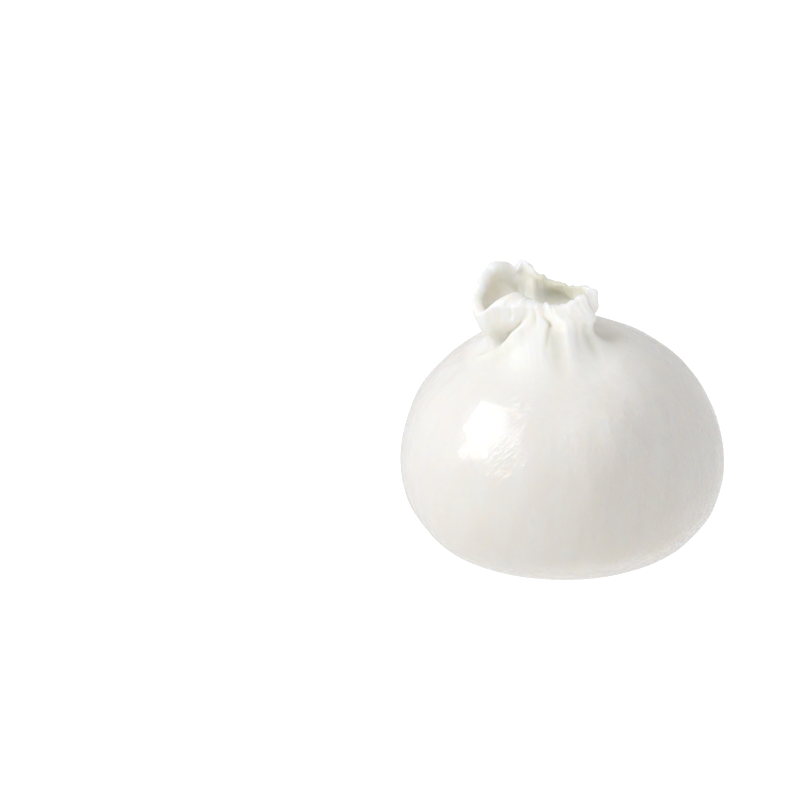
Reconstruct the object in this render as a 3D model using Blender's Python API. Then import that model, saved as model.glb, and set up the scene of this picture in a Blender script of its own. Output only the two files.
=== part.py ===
"""Burrata: a soft ball of fresh cheese whose skin is gathered at the neck into a short, open frill.

The whole cheese is one closed solid. It starts as a UV sphere, whose rings are laid along a path that
runs out under the ball, up its side, over the shoulder, up the gathered collar, over the frill's lip and
down into its mouth. Units are metres, +Z is up and -Y is the front. The origin is on the surface that the
cheese rests on, under the middle of the ball.
"""

import math

import bmesh
import bpy
import numpy as np

# Ball
BALL_RADIUS = 0.0390  # widest
BELLY_HEIGHT = 0.0205  # height of the widest ring
CROWN_HEIGHT = 0.0548  # where the round top would end without its neck
FOOT_RADIUS = 0.0150  # the flat that it rests on
SAG_RADIUS = 0.0220  # where the underside starts to lift
SAG_LIFT = 0.0004  # how far the sagging underside has lifted there

# Neck
NECK_X = -0.0056  # the neck stands a little to the left of the ball's middle
NECK_HALF_WIDTH = 0.0135
NECK_HALF_DEPTH = 0.0112
PINCH_RISE = 0.0032  # the tightest ring above the round top, at the sides
PINCH_RISE_FRONT = 0.0062  # and at the front and back, where the skin slopes up to it
PINCH_SLOPE_FRONT = math.radians(26.0)
SHOULDER_HALF_WIDTH = 0.0200  # where the skin starts to turn up into the neck
SHOULDER_HALF_DEPTH = 0.0265
SHOULDER_X = -0.0044

# Frill
FRILL_X = -0.0062
FRILL_HALF_WIDTH = 0.0139
FRILL_HALF_DEPTH = 0.0098
FRILL_RISE = 0.0095  # the lip's mean height above the crown
FRILL_LEAN = math.radians(20.0)  # how far the lip leans outwards
SKIN = 0.0019  # thickness of the skin at the lip
MOUTH_FLOOR_RISE = 0.0036
MOUTH_HALF_WIDTH = 0.0085
MOUTH_HALF_DEPTH = 0.0026

# Mesh
SEGMENTS = 96
FOOT_RINGS = 2
SIDE_RINGS = 11
SHOULDER_RINGS = 6
FILLET_RINGS = 7
COLLAR_RINGS = 7
LIP_RINGS = 3
THROAT_RINGS = 5

# Lobes of the frill: direction in degrees (0 right, 90 back), half width in degrees, rise and reach in mm.
LOBES = (
    (128.0, 42.0, 3.3, 0.0),  # tall back left
    (200.0, 17.0, -4.4, 0.5),  # notch at the front left corner
    (252.0, 30.0, 1.4, 0.0),  # front lip
    (57.0, 22.0, -2.4, -0.5),  # low back right
    (92.0, 8.0, 0.7, 0.3),
    (118.0, 6.0, 0.8, 0.5),  # a small curl
    (4.0, 14.0, 0.4, 0.4),  # right ear
)

# Pleats: direction at the lip and on the shoulder in degrees, half width in degrees, depth in mm.
PLEATS = (
    (238.0, 197.0, 10.0, 3.2),  # the deep fold at the front left
    (283.0, 276.0, 5.5, 1.7),
    (263.0, 255.0, 4.5, 0.6),
    (308.0, 301.0, 5.5, 0.8),
    (330.0, 330.0, 6.5, 1.6),
    (352.0, 349.0, 6.0, 1.0),
    (17.0, 20.0, 6.5, 1.4),
    (41.0, 44.0, 5.5, 1.1),
    (66.0, 66.0, 6.5, 1.6),
    (88.0, 86.0, 5.5, 1.0),
    (109.0, 111.0, 6.5, 1.5),
    (133.0, 130.0, 5.5, 1.1),
    (155.0, 157.0, 6.5, 1.4),
    (179.0, 174.0, 5.5, 0.9),
)

CHEESE_WHITE = (0.93, 0.91, 0.87, 1.0)


def smooth_step(t):
    """0 below 0, 1 above 1, and an even rise between them."""
    t = np.clip(t, 0.0, 1.0)
    return t * t * (3.0 - 2.0 * t)


def angle_between(a, b):
    """The signed angle in degrees from b to a, between -180 and 180."""
    return (a - b + 180.0) % 360.0 - 180.0


def bell(turn, middle, half_width):
    """A smooth hump of height 1 round a direction in degrees."""
    return np.exp(-((angle_between(turn, middle) / half_width) ** 2))


def bezier(p0, p1, p2, p3, t):
    """Points of a cubic curve, for arrays of corners of shape (n, 3)."""
    s = 1.0 - t
    return s**3 * p0 + 3 * s * s * t * p1 + 3 * s * t * t * p2 + t**3 * p3


def oval(turn, x_middle, half_width, half_depth, height):
    """A level oval ring of points, one for each direction in degrees."""
    a = np.radians(turn)
    x = x_middle + half_width * np.cos(a)
    return np.stack([x, half_depth * np.sin(a), np.zeros_like(a) + height], axis=1)


def crown_height(x, y):
    """The height of the ball's upper half above a point of its plan."""
    share = np.clip(np.hypot(x, y) / BALL_RADIUS, 0.0, 1.0)
    return BELLY_HEIGHT + (CROWN_HEIGHT - BELLY_HEIGHT) * np.sqrt(1.0 - share**2)


def on_crown(turn, x_middle, half_width, half_depth):
    """A ring round x_middle that lies on the ball's upper half."""
    ring = oval(turn, x_middle, half_width, half_depth, 0.0)
    ring[:, 2] = crown_height(ring[:, 0], ring[:, 1])
    return ring


def foot_and_side_rings(turn):
    """The rings of the underside and of the ball's lower half, up to the widest one."""
    rings = [oval(turn, 0.0, FOOT_RADIUS * (k + 1) / FOOT_RINGS, FOOT_RADIUS * (k + 1) / FOOT_RINGS, 0.0)
             for k in range(FOOT_RINGS)]
    for k in range(SIDE_RINGS):
        a = math.pi / 2 * k / (SIDE_RINGS - 1)
        radius = SAG_RADIUS + (BALL_RADIUS - SAG_RADIUS) * math.sin(a) ** (2 / 2.1)
        height = SAG_LIFT + (BELLY_HEIGHT - SAG_LIFT) * (1.0 - math.cos(a) ** (2 / 2.1))
        rings.append(oval(turn, 0.0, radius, radius, height))
    return rings


def shoulder_rings(turn):
    """The rings from above the belly to where the skin turns up. They drift towards the neck."""
    rings = []
    for k in range(1, SHOULDER_RINGS + 1):
        t = k / SHOULDER_RINGS
        half_width, half_depth = (
            BALL_RADIUS * math.sin(math.pi / 2 * (1.0 - t) + math.asin(last / BALL_RADIUS) * t)
            for last in (SHOULDER_HALF_WIDTH, SHOULDER_HALF_DEPTH)
        )
        rings.append(on_crown(turn, SHOULDER_X * t**3, half_width, half_depth))
    return rings


def frill_lip(turn):
    """The middle line of the frill's lip, and the outward direction of each of its points."""
    rise = FRILL_RISE + sum(h * 1e-3 * bell(turn, at, w) for at, w, h, _ in LOBES)
    reach = sum(r * 1e-3 * bell(turn, at, w) for at, w, _, r in LOBES)
    a = np.radians(turn)
    outward = np.stack([np.cos(a), np.sin(a), np.zeros_like(a)], axis=1)
    lip = oval(turn, FRILL_X, FRILL_HALF_WIDTH, FRILL_HALF_DEPTH, CROWN_HEIGHT) + outward * reach[:, None]
    lip[:, 2] += rise
    return lip, outward


def pleat_depth(turn, climb):
    """How far the pleats sink the skin, in metres. climb is 0 on the shoulder and 1 at the lip."""
    total = np.zeros_like(turn)
    for at_lip, at_shoulder, half_width, depth in PLEATS:
        middle = at_shoulder + angle_between(at_lip, at_shoulder) * climb
        total += depth * 1e-3 * np.exp(-(np.abs(angle_between(turn, middle)) / half_width) ** 1.5)
    return total


def cheese_rings():
    """Every ring of the cheese, from under the ball to the floor of the mouth, and the two end points."""
    turn = np.arange(SEGMENTS) * 360.0 / SEGMENTS
    rings = foot_and_side_rings(turn) + shoulder_rings(turn)
    up = np.array([0.0, 0.0, 1.0])

    start = rings[-1]
    just_before = on_crown(turn, SHOULDER_X, SHOULDER_HALF_WIDTH + 1e-4, SHOULDER_HALF_DEPTH + 1e-4)
    inward = (start - just_before) / np.linalg.norm(start - just_before, axis=1, keepdims=True)
    pinch = oval(turn, NECK_X, NECK_HALF_WIDTH, NECK_HALF_DEPTH, 0.0)
    to_front = np.sin(np.radians(turn)) ** 2
    pinch[:, 2] = crown_height(pinch[:, 0], pinch[:, 1]) + PINCH_RISE
    pinch[:, 2] += (PINCH_RISE_FRONT - PINCH_RISE) * to_front
    span = np.linalg.norm(pinch - start, axis=1, keepdims=True)
    lip, outward = frill_lip(turn)
    slope = (PINCH_SLOPE_FRONT * to_front)[:, None]
    rise = up * np.cos(slope) - outward * np.sin(slope)
    along = outward * math.sin(FRILL_LEAN) + up * math.cos(FRILL_LEAN)
    across = outward * math.cos(FRILL_LEAN) - up * math.sin(FRILL_LEAN)
    lip_outside = lip + across * SKIN / 2
    climb_span = np.linalg.norm(lip_outside - pinch, axis=1, keepdims=True)

    for k in range(1, FILLET_RINGS + 1):
        t = k / FILLET_RINGS
        ring = bezier(start, start + inward * span * 0.40, pinch - rise * span * 0.30, pinch, t)
        rings.append(ring - outward * (pleat_depth(turn, t * 0.4) * smooth_step(t))[:, None])
    for k in range(1, COLLAR_RINGS + 1):
        t = k / COLLAR_RINGS
        below_lip = lip_outside - along * climb_span * 0.35
        ring = bezier(pinch, pinch + rise * climb_span * 0.35, below_lip, lip_outside, t)
        sink = pleat_depth(turn, 0.4 + 0.6 * t) * (1.0 - 0.35 * t)
        rings.append(ring - outward * sink[:, None])

    lip_sink = outward * (pleat_depth(turn, 1.0) * 0.65)[:, None]
    for k in range(1, LIP_RINGS + 1):
        a = math.pi * k / (LIP_RINGS + 1)
        ring = lip + (across * math.cos(a) + along * math.sin(a)) * SKIN / 2
        rings.append(ring - lip_sink)
    lip_inside = lip - across * SKIN / 2 - lip_sink
    floor = oval(turn, NECK_X, MOUTH_HALF_WIDTH, MOUTH_HALF_DEPTH, CROWN_HEIGHT + MOUTH_FLOOR_RISE)
    drop = np.linalg.norm(lip_inside - floor, axis=1, keepdims=True)
    for k in range(THROAT_RINGS):
        t = k / THROAT_RINGS
        rings.append(bezier(lip_inside, lip_inside - along * drop * 0.4, floor + up * drop * 0.3, floor, t))
    rings.append(floor)

    bottom = np.zeros(3)
    mouth = np.array([NECK_X, 0.0, CROWN_HEIGHT + MOUTH_FLOOR_RISE - SKIN / 2])
    return rings, bottom, mouth


def cheese_material():
    """Moist, glossy white skin."""
    material = bpy.data.materials.new("cheese_skin")
    material.use_nodes = True
    shader = material.node_tree.nodes["Principled BSDF"]
    shader.inputs["Base Color"].default_value = CHEESE_WHITE
    shader.inputs["Roughness"].default_value = 0.3
    shader.inputs["Metallic"].default_value = 0.0
    return material


def build_cheese(collection):
    """Lays the rings of a UV sphere along the rings of the cheese."""
    rings, bottom, mouth = cheese_rings()
    bm = bmesh.new()
    bmesh.ops.create_uvsphere(bm, u_segments=SEGMENTS, v_segments=len(rings) + 1, radius=1.0)
    ring_step = math.pi / (len(rings) + 1)
    for vert in bm.verts:
        from_bottom = round(math.acos(max(-1.0, min(1.0, -vert.co.z))) / ring_step)
        segment = round(math.degrees(math.atan2(vert.co.y, vert.co.x)) / 360.0 * SEGMENTS) % SEGMENTS
        if from_bottom == 0:
            vert.co = bottom
        elif from_bottom > len(rings):
            vert.co = mouth
        else:
            vert.co = rings[from_bottom - 1][segment]
    mesh = bpy.data.meshes.new("burrata")
    bm.to_mesh(mesh)
    bm.free()
    mesh.shade_smooth()
    cheese = bpy.data.objects.new("burrata", mesh)
    cheese.data.materials.append(cheese_material())
    collection.objects.link(cheese)
    return cheese


def main():
    for obj in list(bpy.data.objects):
        bpy.data.objects.remove(obj)
    collection = bpy.data.collections.new("burrata_cheese")
    bpy.context.scene.collection.children.link(collection)
    build_cheese(collection)


main()
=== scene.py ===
"""Burrata on a pale studio floor: a soft ball of fresh cheese whose skin is gathered into a ragged frill.

The cheese is one continuous skin. It is laid as a fine grid of rings that run out under the ball, up its
side, over the shoulder, up the gathered neck, over the frill's lip and down into its mouth. Folds, creases,
ruffles and dents are then worked into that grid. Units are metres, +Z is up and -Y is the front.

A place on the skin is given by its turn, the direction round the neck in degrees (0 right, 90 back,
180 left, 270 front), and by its climb: -1 at the belly, 0 on the shoulder where the skin starts to turn
up, 1 at the neck's tightest ring, 2 at the lip and 3 on the floor of the mouth.
"""

import logging
import math
from dataclasses import dataclass, field
from enum import Enum

import bpy
import numpy as np
from mathutils import Matrix, Vector, noise

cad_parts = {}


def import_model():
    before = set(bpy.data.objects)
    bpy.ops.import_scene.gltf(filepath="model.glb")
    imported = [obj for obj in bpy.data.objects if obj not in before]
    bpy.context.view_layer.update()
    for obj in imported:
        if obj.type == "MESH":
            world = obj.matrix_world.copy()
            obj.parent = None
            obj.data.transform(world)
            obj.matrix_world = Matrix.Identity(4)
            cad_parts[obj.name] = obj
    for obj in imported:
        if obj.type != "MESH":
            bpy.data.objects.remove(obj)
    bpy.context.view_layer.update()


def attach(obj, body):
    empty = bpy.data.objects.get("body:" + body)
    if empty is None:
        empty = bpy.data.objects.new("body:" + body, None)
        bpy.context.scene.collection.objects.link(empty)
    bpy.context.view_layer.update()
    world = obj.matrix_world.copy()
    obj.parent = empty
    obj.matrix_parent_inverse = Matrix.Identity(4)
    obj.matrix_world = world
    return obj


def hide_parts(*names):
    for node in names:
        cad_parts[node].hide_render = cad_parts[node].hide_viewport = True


logging.basicConfig(level=logging.INFO, format="%(message)s")
log = logging.getLogger("burrata")

MM = 0.001
Array = np.ndarray


# --------------------------------------------------------------------------------------------------------
# Helpers for shapes
# --------------------------------------------------------------------------------------------------------


def smooth_step(t: Array) -> Array:
    """Rises evenly from 0 to 1.

    Args:
        t: Values, where 0 is the start of the rise and 1 its end.

    Returns:
        The eased values, between 0 and 1.
    """
    t = np.clip(t, 0.0, 1.0)
    return t * t * (3.0 - 2.0 * t)


def ramp(value: Array, start: float, end: float) -> Array:
    """Eases from 0 at start to 1 at end. end may be the lower one.

    Args:
        value: Values to ease.
        start: Where the result is 0.
        end: Where the result is 1.

    Returns:
        The eased values, between 0 and 1.
    """
    return smooth_step((np.asarray(value) - start) / (end - start))


def turn_between(a: Array, b: Array) -> Array:
    """The signed turn in degrees from b to a, between -180 and 180."""
    return (a - b + 180.0) % 360.0 - 180.0


def bell(turn: Array, middle: float, half_width: float) -> Array:
    """A smooth hump of height 1 round a direction in degrees."""
    return np.exp(-((turn_between(turn, middle) / half_width) ** 2))


def bezier(p0: Array, p1: Array, p2: Array, p3: Array, t: float) -> Array:
    """Points at t on the cubic curves between rows of p0 and p3."""
    s = 1.0 - t
    return s**3 * p0 + 3 * s * s * t * p1 + 3 * s * t * t * p2 + t**3 * p3


def unit(vectors: Array) -> Array:
    """The vectors at length 1."""
    return vectors / np.maximum(np.linalg.norm(vectors, axis=-1, keepdims=True), 1e-12)


def eased(values: Array, reach: int) -> Array:
    """Softens a run of values, with its end values held.

    Args:
        values: The values in order.
        reach: How many neighbours on each side count most.

    Returns:
        As many values, with their corners rounded off.
    """
    offsets = np.arange(-2 * reach, 2 * reach + 1)
    weights = np.exp(-((offsets / reach) ** 2))
    padded = np.pad(values, 2 * reach, mode="edge")
    return np.convolve(padded, weights / weights.sum(), mode="valid")


def noise_at(points: Array, octaves: int = 1, seed: float = 0.0) -> Array:
    """Smooth noise, about -1 to 1.

    Args:
        points: Places in noise space, of shape (..., 3), where features are about 1 across.
        octaves: How many finer layers are added, each at half the strength.
        seed: Moves the pattern to another part of noise space.

    Returns:
        One value per place.
    """
    flat = points.reshape(-1, 3) + seed * 17.3
    total = np.zeros(len(flat))
    strength, fineness = 1.0, 1.0
    for _ in range(octaves):
        total += strength * np.array([noise.noise(Vector(p)) for p in flat * fineness])
        strength *= 0.5
        fineness *= 2.03
    return total.reshape(points.shape[:-1])


# --------------------------------------------------------------------------------------------------------
# The parts of the form
# --------------------------------------------------------------------------------------------------------


class FoldKind(Enum):
    """How a fold in the skin is shaped across its line."""

    VALLEY = "valley"
    SLIT = "slit"
    RIDGE = "ridge"
    OVERLAP = "overlap"


@dataclass(frozen=True)
class Fold:
    """One fold that runs along the gathered neck.

    Attributes:
        kind: The shape across the line.
        line: Points of (climb, turn in degrees, depth in mm, half width in mm) from low to high.
        side: On an overlap, 1 when the raised edge is on the side of the larger turn, or -1.
    """

    kind: FoldKind
    line: tuple[tuple[float, float, float, float], ...]
    side: int = 1


@dataclass(frozen=True)
class SoftSpot:
    """A soft round bump, or a dent when its height is below zero.

    Attributes:
        turn: Its direction in degrees.
        climb: Its climb.
        height: How far it stands out, in mm.
        half_turn: Half its width round the cheese, in degrees.
        half_climb: Half its height in climb.
    """

    turn: float
    climb: float
    height: float
    half_turn: float
    half_climb: float

    def rise(self, grid: "CheeseGrid") -> Array:
        """How far it lifts each point of the grid, in metres."""
        up = np.exp(-(((grid.climb - self.climb) / self.half_climb) ** 2))[:, None]
        return up * bell(grid.turn, self.turn, self.half_turn)[None, :] * self.height * MM


@dataclass
class BallForm:
    """The sagging ball under the neck, with sizes in metres."""

    radius: float = 0.0390
    belly_height: float = 0.0205
    crown_height: float = 0.0548
    foot_radius: float = 0.0150
    sag_radius: float = 0.0220
    sag_lift: float = 0.0004
    boxiness: float = 2.1

    def foot_ring(self, turn: Array, t: float) -> Array:
        """A ring on the flat foot, or on the slight rise round it.

        Args:
            turn: Directions in degrees.
            t: 0 at the middle of the foot and 1 where the side starts.

        Returns:
            Points of shape (n, 3).
        """
        radius = self.sag_radius * t
        lift = self.sag_lift * smooth_step((radius - self.foot_radius) / (self.sag_radius - self.foot_radius))
        return oval_ring(turn, 0.0, radius, radius, float(lift))

    def side_ring(self, turn: Array, t: float) -> Array:
        """A ring of the lower half, t = 0 at the foot and 1 at the widest part."""
        a = math.pi / 2 * t
        power = 2.0 / self.boxiness
        radius = self.sag_radius + (self.radius - self.sag_radius) * math.sin(a) ** power
        height = self.sag_lift + (self.belly_height - self.sag_lift) * (1.0 - math.cos(a) ** power)
        return oval_ring(turn, 0.0, radius, radius, height)

    def height_above(self, x: Array, y: Array) -> Array:
        """The height of the round upper half above a point of the ball's plan."""
        share = np.clip(np.hypot(x, y) / self.radius, 0.0, 1.0)
        return self.belly_height + (self.crown_height - self.belly_height) * np.sqrt(1.0 - share**2)

    def crown_ring(self, turn: Array, x_middle: float, half_width: float, half_depth: float) -> Array:
        """An oval ring round x_middle that lies on the round upper half."""
        ring = oval_ring(turn, x_middle, half_width, half_depth, 0.0)
        ring[:, 2] = self.height_above(ring[:, 0], ring[:, 1])
        return ring


def oval_ring(turn: Array, x_middle: float, half_width: float, half_depth: float, height: float) -> Array:
    """A level oval ring of points, one for each direction in degrees."""
    a = np.radians(turn)
    x = x_middle + half_width * np.cos(a)
    return np.stack([x, half_depth * np.sin(a), np.zeros_like(a) + height], axis=1)


@dataclass
class NeckForm:
    """Where the skin turns up from the shoulder, and the neck's tightest ring."""

    x: float = -0.0056
    half_width: float = 0.0135
    half_depth: float = 0.0112
    rise_side: float = 0.0032
    rise_front: float = 0.0062
    slope_front: float = 24.0
    slope_side: float = -30.0
    shoulder_half_width: float = 0.0200
    shoulder_half_depth: float = 0.0265
    shoulder_x: float = -0.0044


@dataclass(frozen=True)
class LipPoint:
    """One point of the frill's lip.

    Attributes:
        turn: Its direction in degrees.
        reach: How far out the lip's outer edge is, in mm.
        rise: How high its top is above the round top of the ball, in mm.
        width: How wide the lip is from its outer edge to its inner one, in mm.
        lean: How far it leans outwards, in degrees.
    """

    turn: float
    reach: float
    rise: float
    width: float
    lean: float


@dataclass
class FrillForm:
    """The open frill above the neck and the mouth inside it."""

    x: float = -0.0062
    top_half: float = 0.0011
    mouth_floor: float = 0.0036
    mouth_half_width: float = 0.0088
    mouth_half_depth: float = 0.0022
    lip: tuple[LipPoint, ...] = (
        LipPoint(0.0, 12.9, 10.2, 1.6, 0.0),
        LipPoint(15.0, 12.7, 9.8, 1.6, 2.0),
        LipPoint(30.0, 11.7, 8.8, 1.5, 4.0),
        LipPoint(45.0, 10.9, 8.1, 1.5, 4.0),
        LipPoint(60.0, 9.9, 9.0, 1.6, 2.0),
        LipPoint(75.0, 9.0, 10.0, 1.8, 0.0),
        LipPoint(90.0, 8.6, 11.4, 2.0, 0.0),
        LipPoint(103.0, 9.2, 12.8, 2.2, 4.0),
        LipPoint(112.0, 10.4, 13.2, 2.0, 12.0),
        LipPoint(119.0, 11.2, 12.6, 2.2, 10.0),
        LipPoint(129.0, 12.9, 13.4, 2.6, 6.0),
        LipPoint(140.0, 14.3, 13.7, 3.0, 2.0),
        LipPoint(152.0, 14.8, 12.5, 3.0, -6.0),
        LipPoint(165.0, 15.0, 11.7, 2.9, -10.0),
        LipPoint(178.0, 15.6, 9.7, 2.7, -6.0),
        LipPoint(190.0, 16.0, 7.6, 2.6, 2.0),
        LipPoint(199.0, 15.6, 5.8, 2.6, 10.0),
        LipPoint(206.0, 14.8, 7.6, 3.4, 14.0),
        LipPoint(213.0, 14.0, 9.6, 4.2, 20.0),
        LipPoint(221.0, 13.0, 11.0, 5.4, 22.0),
        LipPoint(230.0, 12.1, 11.2, 5.8, 18.0),
        LipPoint(239.0, 11.2, 10.6, 5.6, 6.0),
        LipPoint(250.0, 10.4, 10.2, 5.2, -4.0),
        LipPoint(265.0, 9.9, 9.8, 4.6, -8.0),
        LipPoint(280.0, 9.8, 9.5, 4.0, -10.0),
        LipPoint(295.0, 10.0, 9.2, 3.4, -8.0),
        LipPoint(310.0, 10.6, 9.3, 2.6, -6.0),
        LipPoint(325.0, 11.4, 9.9, 2.1, -6.0),
        LipPoint(340.0, 12.2, 10.5, 1.7, -4.0),
    )

    def around(self, turn: Array, name: str) -> Array:
        """A value of the lip at each direction, eased between the lip's points.

        Args:
            turn: Directions in degrees.
            name: Which value of a LipPoint is read.

        Returns:
            The values, in the lip points' own units.
        """
        at = [point.turn for point in self.lip]
        values = np.interp(turn, at, [getattr(point, name) for point in self.lip], period=360.0)
        reach = max(1, round(4.0 * len(turn) / 360.0))
        offsets = np.arange(-2 * reach, 2 * reach + 1)
        weights = np.exp(-((offsets / reach) ** 2))
        return sum(w * np.roll(values, k) for k, w in zip(offsets, weights / weights.sum()))


@dataclass
class CheeseGrid:
    """The skin as a grid of rings, from under the ball to the floor of the mouth.

    Attributes:
        points: Places in metres, of shape (rings, segments, 3).
        climb: The climb of each ring.
        turn: The direction of each segment in degrees.
    """

    points: Array
    climb: Array
    turn: Array

    def normals(self) -> Array:
        """The outward direction at each point, from its neighbours in the grid."""
        along = np.roll(self.points, -1, axis=1) - np.roll(self.points, 1, axis=1)
        up = np.gradient(self.points, axis=0)
        return unit(np.cross(along, up))

    def tangents(self) -> Array:
        """The direction of growing turn at each point."""
        return unit(np.roll(self.points, -1, axis=1) - np.roll(self.points, 1, axis=1))


@dataclass
class Cheese:
    """The whole cheese: lays its rings, works the folds into them and makes the mesh."""

    ball: BallForm = field(default_factory=BallForm)
    neck: NeckForm = field(default_factory=NeckForm)
    frill: FrillForm = field(default_factory=FrillForm)
    segments: int = 360
    foot_rings: int = 10
    side_rings: int = 38
    shoulder_rings: int = 52
    fillet_rings: int = 50
    collar_rings: int = 48
    lip_rings: int = 10
    throat_rings: int = 36
    floor_rings: int = 8
    folds: tuple[Fold, ...] = (
        # the broad fan laid over the front left, with a deep groove beside it
        Fold(
            FoldKind.OVERLAP,
            ((0.38, 191.0, 0.1, 1.0), (0.50, 197.0, 1.0, 2.0), (0.70, 209.0, 1.9, 3.8), (0.90, 231.0, 2.3, 4.4),
             (1.20, 246.0, 1.7, 4.0), (1.55, 254.0, 0.7, 3.2), (1.90, 258.0, 0.1, 2.4)),
        ),
        # the slit in front and the pleat that runs on below it
        Fold(
            FoldKind.OVERLAP,
            ((0.70, 270.0, 0.1, 0.9), (0.85, 273.0, 0.4, 1.0), (1.02, 275.5, 0.9, 0.8), (1.25, 276.5, 1.2, 0.8),
             (1.48, 275.5, 0.7, 0.6), (1.68, 274.0, 0.1, 0.5)),
            side=-1,
        ),
        Fold(FoldKind.VALLEY, ((0.38, 282.0, 0.1, 2.8), (0.60, 283.0, 0.5, 2.6), (0.85, 284.0, 0.6, 2.0),
                               (1.10, 284.5, 0.4, 1.2), (1.40, 285.0, 0.1, 1.0))),
        Fold(FoldKind.VALLEY, ((1.20, 263.0, 0.1, 0.4), (1.55, 264.0, 0.4, 0.4), (1.90, 266.0, 0.3, 0.4))),
        # the bright ridge right of the slit, then a crease and the groove at the right
        Fold(FoldKind.RIDGE, ((0.40, 297.0, 0.1, 2.4), (0.85, 298.0, 0.6, 2.4), (1.40, 299.0, 0.6, 2.4),
                              (1.90, 300.0, 0.2, 2.2))),
        Fold(FoldKind.VALLEY, ((0.70, 308.0, 0.1, 0.8), (0.95, 309.0, 0.35, 0.8), (1.25, 310.0, 0.1, 0.8))),
        Fold(FoldKind.VALLEY, ((0.35, 323.0, 0.1, 1.5), (0.52, 327.0, 0.5, 1.6), (0.75, 327.0, 0.7, 1.5),
                               (1.00, 324.0, 0.5, 1.3), (1.35, 322.0, 0.1, 1.0))),
        Fold(FoldKind.RIDGE, ((0.45, 338.0, 0.1, 2.4), (0.85, 338.0, 0.4, 2.4), (1.40, 332.0, 0.6, 3.0),
                              (1.90, 328.0, 0.2, 3.0))),
        Fold(FoldKind.VALLEY, ((0.05, 366.0, 0.3, 4.4), (0.35, 364.0, 1.9, 4.2), (0.70, 361.0, 2.5, 3.2),
                               (1.05, 357.0, 1.4, 2.6), (1.40, 354.0, 0.2, 2.0))),
        # the sides and the back, where broad pleats alternate with narrow grooves
        Fold(FoldKind.VALLEY, ((0.25, 24.0, 0.1, 2.0), (0.55, 22.0, 0.9, 1.7), (0.95, 20.0, 1.3, 1.3),
                               (1.50, 20.0, 0.4, 1.0))),
        Fold(
            FoldKind.OVERLAP,
            ((0.15, 58.0, 0.3, 1.4), (0.55, 52.0, 1.2, 1.8), (1.00, 47.0, 1.7, 1.8), (1.60, 44.0, 0.5, 1.4)),
            side=-1,
        ),
        Fold(FoldKind.VALLEY, ((0.20, 77.0, 0.1, 1.8), (0.55, 76.0, 0.8, 1.5), (1.05, 74.0, 1.3, 1.2),
                               (1.60, 73.0, 0.3, 0.9))),
        Fold(
            FoldKind.OVERLAP,
            ((0.25, 94.0, 0.3, 1.4), (0.60, 98.0, 1.2, 1.8), (1.05, 103.0, 2.0, 1.9), (1.65, 108.0, 0.6, 1.4)),
        ),
        Fold(FoldKind.VALLEY, ((0.10, 128.0, 0.1, 2.0), (0.60, 128.0, 0.8, 1.6), (1.10, 127.0, 1.0, 1.2),
                               (1.60, 126.0, 0.3, 0.9))),
        Fold(FoldKind.VALLEY, ((0.25, 153.0, 0.1, 2.0), (0.55, 151.0, 1.0, 1.8), (1.00, 148.0, 1.5, 1.4),
                               (1.60, 146.0, 0.4, 1.0))),
    )

    spots: tuple[SoftSpot, ...] = (
        SoftSpot(238.0, 1.50, 0.70, 4.5, 0.15),
        SoftSpot(206.0, 1.35, 0.60, 12.0, 0.35),
        SoftSpot(290.0, -0.34, 0.85, 15.0, 0.26),
        SoftSpot(293.0, -0.86, -0.70, 12.0, 0.24),
        SoftSpot(318.0, -0.10, 0.50, 24.0, 0.30),
        SoftSpot(250.0, -0.20, 0.30, 20.0, 0.35),
    )

    def rings(self) -> CheeseGrid:
        """Lays the smooth rings of the whole skin.

        Returns:
            The grid before any fold is worked into it.
        """
        turn = np.arange(self.segments) * 360.0 / self.segments
        ball, neck, frill = self.ball, self.neck, self.frill
        up = np.array([0.0, 0.0, 1.0])
        a = np.radians(turn)
        outward = np.stack([np.cos(a), np.sin(a), np.zeros_like(a)], axis=1)
        points: list[Array] = []
        climb: list[float] = []

        for k in range(1, self.foot_rings + 1):
            points.append(ball.foot_ring(turn, k / self.foot_rings))
            climb.append(-3.0 + k / self.foot_rings)
        for k in range(1, self.side_rings + 1):
            points.append(ball.side_ring(turn, k / self.side_rings))
            climb.append(-2.0 + k / self.side_rings)
        for k in range(1, self.shoulder_rings + 1):
            t = k / self.shoulder_rings
            half_width, half_depth = (
                ball.radius * math.sin(math.pi / 2 * (1.0 - t) + math.asin(last / ball.radius) * t)
                for last in (neck.shoulder_half_width, neck.shoulder_half_depth)
            )
            points.append(ball.crown_ring(turn, neck.shoulder_x * t**3, half_width, half_depth))
            climb.append(-1.0 + t)

        start = points[-1]
        before = ball.crown_ring(
            turn, neck.shoulder_x, neck.shoulder_half_width + 1e-4, neck.shoulder_half_depth + 1e-4
        )
        inward = unit(start - before)
        to_front = np.sin(a) ** 2
        pinch = oval_ring(turn, neck.x, neck.half_width, neck.half_depth, 0.0)
        pinch[:, 2] = ball.height_above(pinch[:, 0], pinch[:, 1])
        pinch[:, 2] += neck.rise_side + (neck.rise_front - neck.rise_side) * to_front
        slope = np.radians(neck.slope_front * to_front + neck.slope_side * (1.0 - to_front))[:, None]
        rise = up * np.cos(slope) - outward * np.sin(slope)
        lip, lean, half_width = self.lip_line(turn, outward)
        along = outward * np.sin(lean) + up * np.cos(lean)
        across = outward * np.cos(lean) - up * np.sin(lean)
        lip_outside = lip + across * half_width
        span = np.linalg.norm(pinch - start, axis=1, keepdims=True)
        climb_span = np.linalg.norm(lip_outside - pinch, axis=1, keepdims=True)

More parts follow.
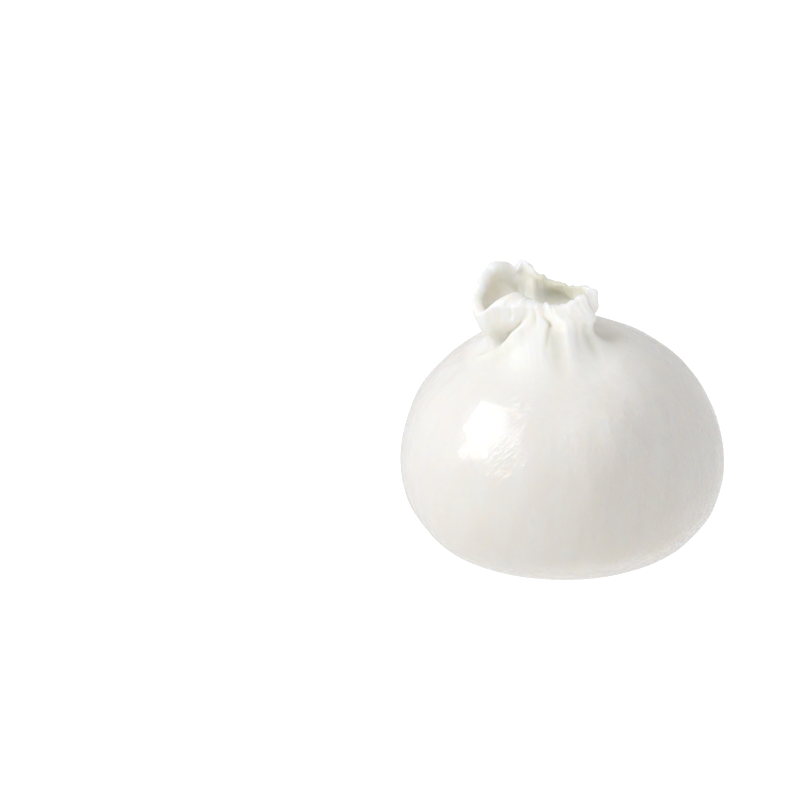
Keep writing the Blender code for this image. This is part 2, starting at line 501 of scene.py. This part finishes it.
        for k in range(1, self.fillet_rings + 1):
            t = k / self.fillet_rings
            points.append(bezier(start, start + inward * span * 0.40, pinch - rise * span * 0.30, pinch, t))
            climb.append(t)
        for k in range(1, self.collar_rings + 1):
            t = k / self.collar_rings
            below_lip = lip_outside - along * climb_span * 0.35
            points.append(bezier(pinch, pinch + rise * climb_span * 0.35, below_lip, lip_outside, t))
            climb.append(1.0 + t)
        for k in range(1, self.lip_rings + 1):
            b = math.pi * k / (self.lip_rings + 1)
            points.append(lip + across * half_width * math.cos(b) + along * frill.top_half * math.sin(b))
            climb.append(2.0 + 0.1 * k / self.lip_rings)

        lip_inside = lip - across * half_width
        floor = oval_ring(turn, neck.x, frill.mouth_half_width, frill.mouth_half_depth, ball.crown_height)
        floor[:, 2] += frill.mouth_floor
        drop = np.linalg.norm(lip_inside - floor, axis=1, keepdims=True)
        for k in range(self.throat_rings + 1):
            t = k / self.throat_rings
            above_floor = floor + (up * 0.24 + outward * 0.20) * drop
            ring = bezier(lip_inside, lip_inside - along * drop * 0.4, above_floor, floor, t)
            points.append(ring + self.throat_shift(turn, outward, t))
            climb.append(2.1 + 0.8 * t)
        floor = floor + self.throat_shift(turn, outward, 1.0)
        for k in range(1, self.floor_rings + 1):
            t = k / self.floor_rings
            ring = floor.copy()
            ring[:, :2] += (np.array([neck.x, 0.0]) - floor[:, :2]) * (t * 0.96)
            ring[:, 2] -= 0.9 * MM * math.sin(math.pi / 2 * t)
            points.append(ring)
            climb.append(2.9 + 0.1 * t)
        return CheeseGrid(np.stack(points), np.array(climb), turn)

    def throat_shift(self, turn: Array, outward: Array, t: float) -> Array:
        """How the mouth's wall leaves its plain course: hollows under the lip, and a bulge at the back.

        Args:
            turn: Directions in degrees.
            outward: The level outward direction for each of them.
            t: 0 at the lip and 1 at the mouth's floor.

        Returns:
            A shift in metres for each direction.
        """
        hollow = math.exp(-(((t - 0.27) / 0.20) ** 2)) - math.exp(-((0.27 / 0.20) ** 2)) * (1.0 - t)
        pit = math.exp(-(((t - 0.40) / 0.28) ** 2)) - math.exp(-((0.40 / 0.28) ** 2)) * (1.0 - t)
        swell = float(ramp(np.array(t), 0.35, 0.75))
        left = bell(turn, 150.0, 46.0)
        out = (1.9 * left + 1.4 * bell(turn, 118.0, 9.0)) * hollow + 2.4 * bell(turn, 60.0, 15.0) * pit
        shelf = bell(turn, 268.0, 34.0) * (math.exp(-(((t - 0.30) / 0.24) ** 2)) - math.exp(-1.5625) * (1.0 - t))
        out = out - 2.6 * bell(turn, 160.0, 40.0) * swell - 1.2 * shelf
        shift = outward * (out * MM)[:, None]
        bulge = bell(turn, 91.0, 16.0) * float(smooth_step(np.array(t * 1.3))) * (1.0 - 0.80 * t)
        shift[:, 1] -= 5.6 * MM * bulge
        shift[:, 2] += 1.4 * MM * shelf
        return shift

    def lip_line(self, turn: Array, outward: Array) -> tuple[Array, Array, Array]:
        """The middle line of the frill's lip.

        Args:
            turn: Directions in degrees.
            outward: The level outward direction for each of them.

        Returns:
            The line's points, its outward lean in radians and half its width in metres, as columns.
        """
        frill = self.frill
        reach, rise, width, lean = (frill.around(turn, name) for name in ("reach", "rise", "width", "lean"))
        around = np.stack([outward[:, 0], outward[:, 1], np.zeros(len(turn))], axis=1)
        rise = rise + 0.35 * noise_at(around * 4.6, 2, 1.0) + 0.30 * noise_at(around * 10.0, 1, 2.0)
        reach = reach + 0.35 * noise_at(around * 5.5, 2, 3.0) + 0.22 * noise_at(around * 12.0, 1, 4.0)
        rise = rise + 0.9 * bell(turn, 112.0, 6.5) - 0.7 * bell(turn, 122.0, 3.5)
        torn = bell(turn, 358.0, 4.4)
        reach = reach + 1.3 * torn
        width = width * (1.0 + 0.22 * noise_at(around * 6.0, 1, 6.0))
        middle = (reach - width / 2) * MM
        a = np.radians(turn)
        x = frill.x + middle * np.cos(a)
        height = self.ball.crown_height + rise * MM - frill.top_half
        lip = np.stack([x, middle * np.sin(a), height], axis=1)
        return lip, np.radians(lean)[:, None], (width / 2 * MM)[:, None]

    def gathers(self, grid: CheeseGrid) -> Array:
        """How far the many small pleats of the neck sink the skin, in metres."""
        turn = grid.turn[None, :]
        climb = grid.climb[:, None]
        a = np.radians(turn)
        strength = ramp(climb, 0.30, 1.0) * (1.0 - 0.45 * ramp(climb, 1.6, 2.0))
        strength = np.where(climb > 2.1, 0.55 * (1.0 - ramp(climb, 2.3, 2.8)), strength)
        height = np.minimum(climb, 4.2 - climb)
        lay = np.stack(np.broadcast_arrays(np.cos(a) * 3.4, np.sin(a) * 3.4, height * 0.45), axis=-1)
        broad = noise_at(lay, 1, 7.0)
        lay_fine = np.stack(np.broadcast_arrays(np.cos(a) * 10.0, np.sin(a) * 10.0, height * 0.9), axis=-1)
        fine = noise_at(lay_fine, 2, 8.0)
        at_back = 0.20 + 0.60 * ramp(np.sin(a), -0.35, 0.35)
        smooth = 1.0 - 0.7 * bell(turn, 322.0, 26.0)
        depth = ((0.35 - np.sqrt(broad**2 + 0.01)) * 1.5 * at_back + fine * 0.15) * smooth
        return depth * strength * MM

    def fold_field(self, grid: CheeseGrid, fold: Fold) -> tuple[Array, Array]:
        """What one fold does to the skin.

        Args:
            grid: The grid that the fold is worked into.
            fold: The fold.

        Returns:
            The rise along the outward direction and the shift along growing turn, in metres, per point.
        """
        line = np.array(fold.line)
        climb = grid.climb
        at, depth, width = (eased(np.interp(climb, line[:, 0], line[:, k]), 5) for k in (1, 2, 3))
        ends = ramp(climb, line[0, 0] - 0.12, line[0, 0]) * ramp(climb, line[-1, 0] + 0.12, line[-1, 0])
        depth = (depth * ends)[:, None]
        width = width[:, None]
        middle = np.array([self.neck.x, 0.0])
        radius = np.linalg.norm(grid.points[:, :, :2] - middle, axis=2) / MM
        away = np.radians(turn_between(grid.turn[None, :], at[:, None])) * radius * fold.side
        slant = np.radians(eased(np.gradient(at) / np.gradient(climb), 5)) * radius.mean(axis=1) / 10.0
        away = away / np.sqrt(1.0 + slant**2)[:, None]
        if fold.kind is FoldKind.VALLEY:
            return -depth * np.exp(-((away / width) ** 2)) * MM, np.zeros_like(away)
        if fold.kind is FoldKind.RIDGE:
            return depth * np.exp(-((away / width) ** 2)) * MM, np.zeros_like(away)
        if fold.kind is FoldKind.SLIT:
            return -depth * np.exp(-(np.abs(away / width) ** 3)) * MM, np.zeros_like(away)
        under = -depth * np.exp(-((np.minimum(away, 0.0) / width) ** 2)) * ramp(away, 0.7, -0.6)
        edge = 0.22 * depth * np.exp(-((away - 0.7) / 1.3) ** 2)
        shift = -0.30 * depth * np.exp(-(((away - 0.6) / 1.0) ** 2)) * fold.side
        return (under + edge) * MM, shift * MM

    def sculpt(self, grid: CheeseGrid) -> CheeseGrid:
        """Works the folds, the gathers and the soft unevenness of the ball into the grid.

        Args:
            grid: The smooth grid.

        Returns:
            The grid of the finished skin.
        """
        normal = grid.normals()
        tangent = grid.tangents()
        rise = -self.gathers(grid)
        shift = np.zeros_like(rise)
        for fold in self.folds:
            up, side = self.fold_field(grid, fold)
            rise = rise + up
            shift = shift + side
        for spot in self.spots:
            rise = rise + spot.rise(grid)
        climb = grid.climb[:, None]
        free = ramp(climb, -1.95, -1.4)
        inside = ramp(climb, 2.0, 2.3)
        broad = noise_at(grid.points / 0.020, 1, 9.0) * 0.45 + noise_at(grid.points / 0.009, 1, 10.0) * 0.10
        rise = rise + broad * MM * free * (1.0 - inside)
        rise = rise + noise_at(grid.points / 0.0028, 2, 11.0) * 0.10 * MM * ramp(climb, 0.8, 1.6)
        drawn_down = grid.points * np.array([1.0, 1.0, 0.22])
        hanging = noise_at(grid.points * np.array([1.0, 1.0, 0.38]) / 0.0095, 1, 13.0)
        calm = bell(grid.turn, 228.0, 44.0)[None, :]
        rise = rise + hanging * (0.36 - 0.22 * calm) * MM * free * (1.0 - ramp(climb, -0.1, 0.5))
        rise = rise + noise_at(drawn_down / 0.0042, 2, 12.0) * 0.07 * MM * free * (1.0 - ramp(climb, 0.2, 0.8))
        points = grid.points + normal * rise[:, :, None] + tangent * shift[:, :, None]
        return CheeseGrid(points, grid.climb, grid.turn)

    def mesh(self, name: str) -> bpy.types.Mesh:
        """Makes the skin's mesh, with the values that its finish reads on each point.

        Args:
            name: The mesh's name.

        Returns:
            One closed mesh with smooth faces.
        """
        grid = self.sculpt(self.rings())
        rings, segments, _ = grid.points.shape
        bottom = np.array([0.0, 0.0, 0.0])
        mouth = grid.points[-1].mean(axis=0)
        points = np.concatenate([grid.points.reshape(-1, 3), [bottom, mouth]])
        faces: list[tuple[int, ...]] = []
        for i in range(rings - 1):
            for j in range(segments):
                k = (j + 1) % segments
                faces.append((i * segments + j, i * segments + k, (i + 1) * segments + k, (i + 1) * segments + j))
        low, high = rings * segments, rings * segments + 1
        last = (rings - 1) * segments
        for j in range(segments):
            k = (j + 1) % segments
            faces.append((low, k, j))
            faces.append((high, last + j, last + k))
        mesh = bpy.data.meshes.new(name)
        mesh.from_pydata(points.tolist(), [], faces)
        mesh.shade_smooth()
        for label, values, below, above in (
            # painted shade for the folds, the mouth and the shadow at the neck's right base
            ("hollow_shade", self.hollow_shade(grid), 0.0, 1.0),
            # where the neck's paler painted light goes
            ("neck", np.broadcast_to(ramp(grid.climb, 0.1, 0.8)[:, None], (rings, segments)), 0.0, 1.0),
            ("wet", self.wetness(grid), 1.0, 0.3),
            ("wet_wrinkles", self.wet_wrinkles(grid), 0.0, 0.0),
            ("neck_wrinkles", self.neck_wrinkles(grid), 0.0, 0.0),
            ("dented", self.dented(grid), 0.0, 0.0),
            ("climb", np.broadcast_to(grid.climb[:, None], (rings, segments)), -3.0, 3.0),
            ("turn", np.broadcast_to(grid.turn[None, :], (rings, segments)), -3.0, 3.0),
        ):
            flat = np.concatenate([values.reshape(-1), [below, above]])
            mesh.attributes.new(label, "FLOAT", "POINT").data.foreach_set("value", flat.astype(np.float32))
        return mesh

    def hollow_shade(self, grid: CheeseGrid) -> Array:
        """How much painted shade each point gets, from 0 on open skin to 1: by how deep it lies in a fold or in the
        mouth, under the lip, along the groove, the slit and the valleys, and as a painted shadow where the neck shades
        the shoulder at its right base.
        """
        points = grid.points
        smooth = points.copy()
        for _ in range(14):
            around = np.roll(smooth, 1, axis=1) + np.roll(smooth, -1, axis=1)
            above = np.concatenate([smooth[1:], smooth[-1:]])
            below = np.concatenate([smooth[:1], smooth[:-1]])
            smooth = 0.2 * smooth + 0.2 * (around + above + below)
        grid_smooth = CheeseGrid(smooth, grid.climb, grid.turn)
        sunk = np.einsum("ijk,ijk->ij", smooth - points, grid_smooth.normals()) / MM
        climb = grid.climb[:, None]
        on_neck = ramp(climb, -0.4, 0.2)
        # painted shade that grows with how deep a point lies in a fold of the neck
        folds = np.clip(sunk * 1.25 * on_neck, 0.0, 0.8) * (climb < 2.05)
        turn = grid.turn[None, :]
        groove = np.exp(-(((climb - 0.98) / 0.46) ** 2)) * bell(turn, 221.0, 18.0)
        thin = bell(turn, 52.0, 46.0)
        front = bell(turn, 262.0, 44.0)
        # painted shade under the lip on the mouth's wall, strongest at the back right
        under_lip = ramp(climb - 2.10 + 0.15 * thin - 0.10 * front, 0.0, 0.20 - 0.10 * thin + 0.22 * front)
        under_lip = under_lip * (1.0 - 0.45 * ramp(climb, 2.42, 2.75)) * (0.35 + 0.65 * bell(turn, 55.0, 42.0) + 0.22 * bell(turn, 116.0, 15.0))
        valley = np.exp(-(((climb - 0.75) / 0.35) ** 2)) * bell(turn, 283.0, 8.0)
        shade = np.exp(-(((climb - 0.52) / 0.30) ** 2)) * bell(turn, 366.0, 18.0)
        right = np.exp(-(((climb - 0.68) / 0.24) ** 2)) * bell(turn, 323.0, 7.0)
        slit = np.exp(-(((climb - 1.22) / 0.26) ** 2)) * bell(turn, 278.0, 3.5)
        # painted shade strips along the groove, the valley, the slit and the right groove, and a painted shadow of the
        # neck on the shoulder at its right base
        painted_shade_strips = 0.40 * groove + 0.35 * valley + 0.4 * slit + 0.20 * right + 0.40 * shade
        return np.clip(folds + painted_shade_strips + under_lip, 0.0, 1.0)


    @staticmethod
    def wetness(grid: CheeseGrid) -> Array:
        """How much wet film lies on each point: all over the ball, and less on the drawn-up neck."""
        dry = ramp(grid.climb, -0.05, 0.25)[:, None]
        right = bell(grid.turn, 318.0, 30.0)[None, :] * ramp(grid.climb, 0.8, 1.1)[:, None]
        return 1.0 - dry * (0.82 - 0.75 * right)

    @staticmethod
    def dented(grid: CheeseGrid) -> Array:
        """How softly dented the ball's skin is at each point: most at the front right, from 0 to 1."""
        on_ball = ramp(grid.climb, -1.7, -1.3) * (1.0 - ramp(grid.climb, -0.3, 0.2))
        return on_ball[:, None] * (0.13 + 0.87 * bell(grid.turn, 305.0, 38.0))[None, :]

    @staticmethod
    def neck_wrinkles(grid: CheeseGrid) -> Array:
        """How finely crinkled the neck's skin is at each point, from 0 to 1."""
        band = np.exp(-(((grid.climb - 1.5) / 0.5) ** 2))[:, None]
        return (0.25 + 0.75 * bell(grid.turn, 314.0, 20.0))[None, :] * band

    @staticmethod
    def wet_wrinkles(grid: CheeseGrid) -> Array:
        """How wrinkled the wet film is at each point, from 0 where it lies smooth to 1."""
        wrinkled = np.zeros(grid.points.shape[:2])
        patches = ((-10.0, -24.5, 45.5, 3.0, 0.9), (-12.5, -28.0, 42.0, 3.0, 1.0), (-15.0, -31.0, 37.0, 4.0, 1.0),
                   (-16.5, -33.0, 33.0, 4.0, 1.0), (-11.5, -32.5, 36.5, 3.0, 0.6), (-21.0, -25.5, 38.5, 6.0, 0.10))
        for x, y, z, size, strength in patches:
            away = np.linalg.norm(grid.points / MM - np.array([x, y, z]), axis=2)
            wrinkled = np.maximum(wrinkled, strength * np.exp(-((away / size) ** 2)))
        return wrinkled


# --------------------------------------------------------------------------------------------------------
# Finishes
# --------------------------------------------------------------------------------------------------------


Colour = tuple[float, float, float]


class NodeBench:
    """Lays out the nodes of one material."""

    def __init__(self, name: str) -> None:
        """Starts a material that has only its shader."""
        self.material = bpy.data.materials.new(name)
        self.material.use_nodes = True
        self.nodes = self.material.node_tree.nodes
        self.links = self.material.node_tree.links
        self.shader = self.nodes["Principled BSDF"]

    def set(self, **values: float | tuple[float, ...]) -> None:
        """Sets uniform values on the shader, with underscores for the spaces in their names."""
        for name, value in values.items():
            self.shader.inputs[name.replace("_", " ")].default_value = value

    def place(self, stretch: Colour = (1.0, 1.0, 1.0), roll: float = 0.0) -> bpy.types.NodeSocket:
        """The place on the object, rolled about the front-to-back line and then scaled by stretch.

        Args:
            stretch: The scale along each direction.
            roll: The roll in degrees.

        Returns:
            The place.
        """
        turned = self.nodes.new("ShaderNodeVectorRotate")
        turned.rotation_type = "Y_AXIS"
        turned.inputs["Angle"].default_value = math.radians(roll)
        self.links.new(self.nodes.new("ShaderNodeTexCoord").outputs["Object"], turned.inputs["Vector"])
        scale = self.nodes.new("ShaderNodeVectorMath")
        scale.operation = "MULTIPLY"
        self.links.new(turned.outputs["Vector"], scale.inputs[0])
        scale.inputs[1].default_value = stretch
        return scale.outputs["Vector"]

    def attribute(self, name: str) -> bpy.types.NodeSocket:
        """A value that the mesh carries on its points."""
        node = self.nodes.new("ShaderNodeAttribute")
        node.attribute_name = name
        return node.outputs["Fac"]

    def noise(self, place: bpy.types.NodeSocket, scale: float, detail: float = 2.0) -> bpy.types.NodeSocket:
        """Cloudy noise of the given scale, 0 to 1."""
        node = self.nodes.new("ShaderNodeTexNoise")
        node.inputs["Scale"].default_value = scale
        node.inputs["Detail"].default_value = detail
        self.links.new(place, node.inputs["Vector"])
        return node.outputs["Fac"]

    def spread(
        self, value: bpy.types.NodeSocket, low: float, high: float, start: float = 0.0, end: float = 1.0
    ) -> bpy.types.NodeSocket:
        """Maps a value to another span.

        Args:
            value: The value to map.
            low: Where the result is start.
            high: Where the result is end.
            start: The result at low and below.
            end: The result at high and above.

        Returns:
            The mapped value.
        """
        node = self.nodes.new("ShaderNodeMapRange")
        for name, number in (("From Min", low), ("From Max", high), ("To Min", start), ("To Max", end)):
            node.inputs[name].default_value = number
        self.links.new(value, node.inputs["Value"])
        return node.outputs["Result"]

    def creases(self, value: bpy.types.NodeSocket, width: float) -> bpy.types.NodeSocket:
        """Turns noise into flat ground, 1, with narrow creases that run down to 0 where the noise is 0.5."""
        centred = self.nodes.new("ShaderNodeMath")
        centred.operation = "SUBTRACT"
        self.links.new(value, centred.inputs[0])
        centred.inputs[1].default_value = 0.5
        folded = self.nodes.new("ShaderNodeMath")
        folded.operation = "ABSOLUTE"
        self.links.new(centred.outputs["Value"], folded.inputs[0])
        return self.spread(folded.outputs["Value"], 0.0, width)

    def product(self, a: bpy.types.NodeSocket, b: bpy.types.NodeSocket | float) -> bpy.types.NodeSocket:
        """Multiplies a value by another value or by a number."""
        node = self.nodes.new("ShaderNodeMath")
        node.operation = "MULTIPLY"
        self.links.new(a, node.inputs[0])
        if isinstance(b, float):
            node.inputs[1].default_value = b
        else:
            self.links.new(b, node.inputs[1])
        return node.outputs["Value"]

    def mix(
        self, share: bpy.types.NodeSocket, low: bpy.types.NodeSocket | Colour, high: Colour
    ) -> bpy.types.NodeSocket:
        """Mixes two colours.

        Args:
            share: How much of the second colour there is, from 0 to 1.
            low: The first colour.
            high: The second colour.

        Returns:
            The mixed colour.
        """
        node = self.nodes.new("ShaderNodeMix")
        node.data_type = "RGBA"
        self.links.new(share, node.inputs["Factor"])
        if isinstance(low, tuple):
            node.inputs[6].default_value = (*low, 1.0)
        else:
            self.links.new(low, node.inputs[6])
        node.inputs[7].default_value = (*high, 1.0)
        return node.outputs[2]

    def bump(
        self,
        height: bpy.types.NodeSocket,
        depth: float,
        below: bpy.types.NodeSocket | None = None,
    ) -> bpy.types.NodeSocket:
        """Adds a fine relief.

        Args:
            height: The relief, where a step of 1 is as high as depth.
            depth: The relief's height in metres.
            below: The relief that this one lies on.

        Returns:
            The relief's surface direction.
        """
        node = self.nodes.new("ShaderNodeBump")
        node.inputs["Strength"].default_value = 1.0
        node.inputs["Distance"].default_value = depth
        self.links.new(height, node.inputs["Height"])
        if below is not None:
            self.links.new(below, node.inputs["Normal"])
        return node.outputs["Normal"]


@dataclass(frozen=True)
class MoistCheeseSkin:
    """Fresh white cheese: milky, soft and wet, with a little cream colour low down, a paler painted light on the
    brightly lit neck, and an olive painted shade in its folds and mouth.
    """

    milk: Colour = (0.918, 0.886, 0.853)
    cream: Colour = (0.90, 0.865, 0.785)
    # fold: the olive painted shade for the folds, the mouth and the neck's right base
    fold: Colour = (0.62, 0.625, 0.53)
    streak: Colour = (0.965, 0.95, 0.935)
    # a paler tone painted on the neck as painted light, where the neck is brightly lit
    neck_painted_light: Colour = (0.968, 0.945, 0.905)
    cream_height: float = 0.034

    def material(self) -> bpy.types.Material:
        """Builds the node material.

        Returns:
            The finished material.
        """
        bench = NodeBench("moist_cheese_skin")
        bench.set(Roughness=0.42, IOR=1.40, Subsurface_Weight=1.0, Subsurface_Radius=(1.0, 0.84, 0.66),
                  Subsurface_Scale=0.0035, Coat_Roughness=0.06, Coat_IOR=1.50)
        place = bench.place()
        self.colours(bench, place)
        self.relief(bench, place)
        return bench.material

    def colours(self, bench: NodeBench, place: bpy.types.NodeSocket) -> None:
        """Mixes the milk white with cream low on the ball, makes the neck paler as painted light, and mixes in an
        olive painted shade in the folds and the mouth.

        Args:
            bench: The material's nodes.
            place: The place on the cheese.
        """
        height = bench.nodes.new("ShaderNodeSeparateXYZ")
        bench.links.new(place, height.inputs["Vector"])
        low_down = bench.spread(height.outputs["Z"], self.cream_height, 0.012, 0.25, 1.0)
        facing = bench.product(height.outputs["Y"], height.outputs["Y"])
        facing = bench.spread(facing, 0.0004, 0.0013, 0.25, 1.0)
        cloud = bench.spread(bench.noise(place, 48.0, 3.0), 0.36, 0.66, 0.3, 1.0)
        milky = bench.mix(bench.product(bench.product(cloud, low_down), facing), self.milk, self.cream)
        drawn = bench.noise(bench.place((1.0, 1.0, 0.30)), 190.0, 4.0)
        streaky = bench.mix(bench.spread(drawn, 0.40, 0.72, 0.0, 0.40), milky, self.streak)
        # painted light: the neck is made paler where it is brightly lit
        with_neck_painted_light = bench.mix(bench.attribute("neck"), streaky, self.neck_painted_light)
        soft = bench.spread(bench.noise(place, 260.0, 2.0), 0.3, 0.7, 0.8, 1.0)
        # painted shade: the olive fold colour, mixed in by the mesh's painted shade value in the folds, the mouth and
        # at the neck's right base
        folds = bench.mix(bench.product(bench.attribute("hollow_shade"), soft), with_neck_painted_light, self.fold)
        bench.links.new(folds, bench.shader.inputs["Base Color"])

    def relief(self, bench: NodeBench, place: bpy.types.NodeSocket) -> None:
        """Adds the fine relief: a soft grain, streaks drawn downwards and the wet film's wrinkles.

        Args:
            bench: The material's nodes.
            place: The place on the cheese.
        """
        drawn = bench.place((1.0, 1.0, 0.24))
        hanging = bench.noise(bench.place((1.0, 1.0, 0.50)), 85.0, 5.0)
        dents = bench.bump(bench.product(hanging, bench.attribute("dented")), 0.0032)
        streaks = bench.bump(bench.noise(drawn, 420.0, 3.0), 0.00008, dents)
        grain = bench.bump(bench.noise(place, 700.0, 3.0), 0.00003, streaks)
        strands = bench.place((0.35, 1.0, 1.0), 48.0)
        creases = bench.product(bench.creases(bench.noise(strands, 300.0, 3.0), 0.20), bench.attribute("wet_wrinkles"))
        crinkle = bench.noise(bench.place((1.0, 1.0, 0.35)), 950.0, 3.0)
        crinkled = bench.bump(bench.product(crinkle, bench.attribute("neck_wrinkles")), 0.00025, grain)
        skin = bench.bump(creases, 0.00014, crinkled)
        film = bench.bump(creases, 0.00065, bench.bump(bench.noise(place, 300.0, 2.0), 0.00005, crinkled))
        bench.links.new(skin, bench.shader.inputs["Normal"])
        bench.links.new(film, bench.shader.inputs["Coat Normal"])
        bench.links.new(bench.attribute("wet"), bench.shader.inputs["Coat Weight"])


@dataclass(frozen=True)
class PaleFloorPaint:
    """The matt white of the studio floor."""

    colour: tuple[float, float, float] = (0.30, 0.30, 0.30)
    glow: float = 0.93

    def material(self) -> bpy.types.Material:
        """Builds the floor's material."""
        material = bpy.data.materials.new("pale_floor")
        material.use_nodes = True
        shader = material.node_tree.nodes["Principled BSDF"]
        shader.inputs["Base Color"].default_value = (*self.colour, 1.0)
        shader.inputs["Roughness"].default_value = 0.9
        shader.inputs["Specular IOR Level"].default_value = 0.1
        shader.inputs["Emission Color"].default_value = (1.0, 1.0, 1.0, 1.0)
        shader.inputs["Emission Strength"].default_value = self.glow
        return material


# --------------------------------------------------------------------------------------------------------
# The studio
# --------------------------------------------------------------------------------------------------------


@dataclass
class Studio:
    """The pale floor, the soft lights and the camera."""

    floor_half: float = 4.0
    key_direction: tuple[float, float, float] = (-0.79, -0.22, 0.645)
    key_distance: float = 0.75
    key_size: tuple[float, float] = (0.47, 0.60)
    key_roll: float = 27.0
    key_power: float = 2.64
    light_above: float = 0.625
    light_below: float = 0.98
    spot_direction: tuple[float, float, float] = (0.08, -0.98, 0.12)
    spot_distance: float = 1.0
    spot_width: float = 2.1
    spot_size: float = 0.020
    spot_power: float = 12.0
    camera_rise: float = 24.3
    camera_distance: float = 1.083
    camera_lens: float = 200.0
    camera_right: float = 0.0391
    camera_below: float = 0.0327

    def build_floor(self) -> bpy.types.Object:
        """Lays the floor, which isn't part of the object. Its own bounce is part of the surroundings' light."""
        half = self.floor_half
        mesh = bpy.data.meshes.new("studio_floor")
        mesh.from_pydata([(-half, -half, 0.0), (half, -half, 0.0), (half, half, 0.0), (-half, half, 0.0)], [],
                         [(0, 1, 2, 3)])
        floor = bpy.data.objects.new("studio_floor", mesh)
        mesh.materials.append(PaleFloorPaint().material())
        bpy.context.scene.collection.objects.link(floor)
        floor.visible_diffuse = False
        floor.visible_glossy = False
        return floor

    def build_lights(self) -> None:
        """Sets up the white surroundings and one large soft box at the upper left."""
        world = bpy.data.worlds.new("studio_white")
        bpy.context.scene.world = world
        world.use_nodes = True
        nodes, links = world.node_tree.nodes, world.node_tree.links
        direction = nodes.new("ShaderNodeSeparateXYZ")
        links.new(nodes.new("ShaderNodeTexCoord").outputs["Generated"], direction.inputs["Vector"])
        level = nodes.new("ShaderNodeMapRange")
        level.inputs["From Min"].default_value = -1.0
        level.inputs["From Max"].default_value = 0.0
        level.inputs["To Min"].default_value = self.light_below
        level.inputs["To Max"].default_value = self.light_above
        links.new(direction.outputs["Z"], level.inputs["Value"])
        background = nodes["Background"]
        background.inputs["Color"].default_value = (1.0, 0.987, 0.975, 1.0)
        links.new(level.outputs["Result"], background.inputs["Strength"])
        self.build_softbox()
        self.build_neck_spot()

    def build_softbox(self) -> bpy.types.Object:
        """Hangs the soft box that faces the cheese from the upper left."""
        data = bpy.data.lights.new("key_softbox", "AREA")
        data.shape = "RECTANGLE"
        data.size, data.size_y = self.key_size
        data.color = (0.95, 0.975, 1.0)
        data.energy = self.key_power
        light = bpy.data.objects.new("key_softbox", data)
        aim = Vector((0.0, 0.0, 0.03))
        light.location = aim + Vector(self.key_direction).normalized() * self.key_distance
        facing = (aim - light.location).to_track_quat("-Z", "Y").to_matrix()
        light.rotation_euler = (facing @ Matrix.Rotation(math.radians(self.key_roll), 3, "Z")).to_euler()
        bpy.context.scene.collection.objects.link(light)
        return light

    def build_neck_spot(self) -> bpy.types.Object:
        """Sets a narrow soft spot low at the front right, which lights only the neck and the frill."""
        data = bpy.data.lights.new("neck_spot", "SPOT")
        data.spot_size = math.radians(self.spot_width)
        data.spot_blend = 1.0
        data.shadow_soft_size = self.spot_size / 2
        data.energy = self.spot_power
        light = bpy.data.objects.new("neck_spot", data)
        aim = Vector((0.002, -0.004, 0.0625))
        light.location = aim + Vector(self.spot_direction).normalized() * self.spot_distance
        light.rotation_euler = (aim - light.location).to_track_quat("-Z", "Y").to_euler()
        bpy.context.scene.collection.objects.link(light)
        return light

    def build_camera(self) -> None:
        """Places the camera level with its horizon, looking along +Y and down, off to the cheese's left."""
        rise = math.radians(self.camera_rise)
        ahead = Vector((0.0, math.cos(rise), -math.sin(rise)))
        up = Vector((0.0, math.sin(rise), math.cos(rise)))
        right = Vector((1.0, 0.0, 0.0))
        data = bpy.data.cameras.new("camera")
        data.lens = self.camera_lens
        data.sensor_width = 36.0
        data.clip_start = 0.01
        camera = bpy.data.objects.new("camera", data)
        bpy.context.scene.collection.objects.link(camera)
        place = Matrix((right, up, -ahead)).transposed().to_4x4()
        place.translation = -ahead * self.camera_distance - right * self.camera_right + up * self.camera_below
        camera.matrix_world = place
        bpy.context.scene.camera = camera
        bpy.context.scene.view_settings.view_transform = "Standard"


def build_cheese() -> bpy.types.Object:
    """Makes the cheese and sets it in the frame.

    Returns:
        The finished piece.
    """
    mesh = Cheese().mesh("burrata_skin")
    mesh.materials.append(MoistCheeseSkin().material())
    cheese = bpy.data.objects.new("burrata_skin", mesh)
    bpy.context.scene.collection.objects.link(cheese)
    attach(cheese, "root")
    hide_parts("burrata")
    log.info("%s: %d faces", cheese.name, len(mesh.polygons))
    return cheese


def main() -> None:
    """Builds the cheese and the studio round it."""
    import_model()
    build_cheese()
    studio = Studio()
    studio.build_floor()
    studio.build_lights()
    studio.build_camera()


if __name__ == "__main__":
    main()
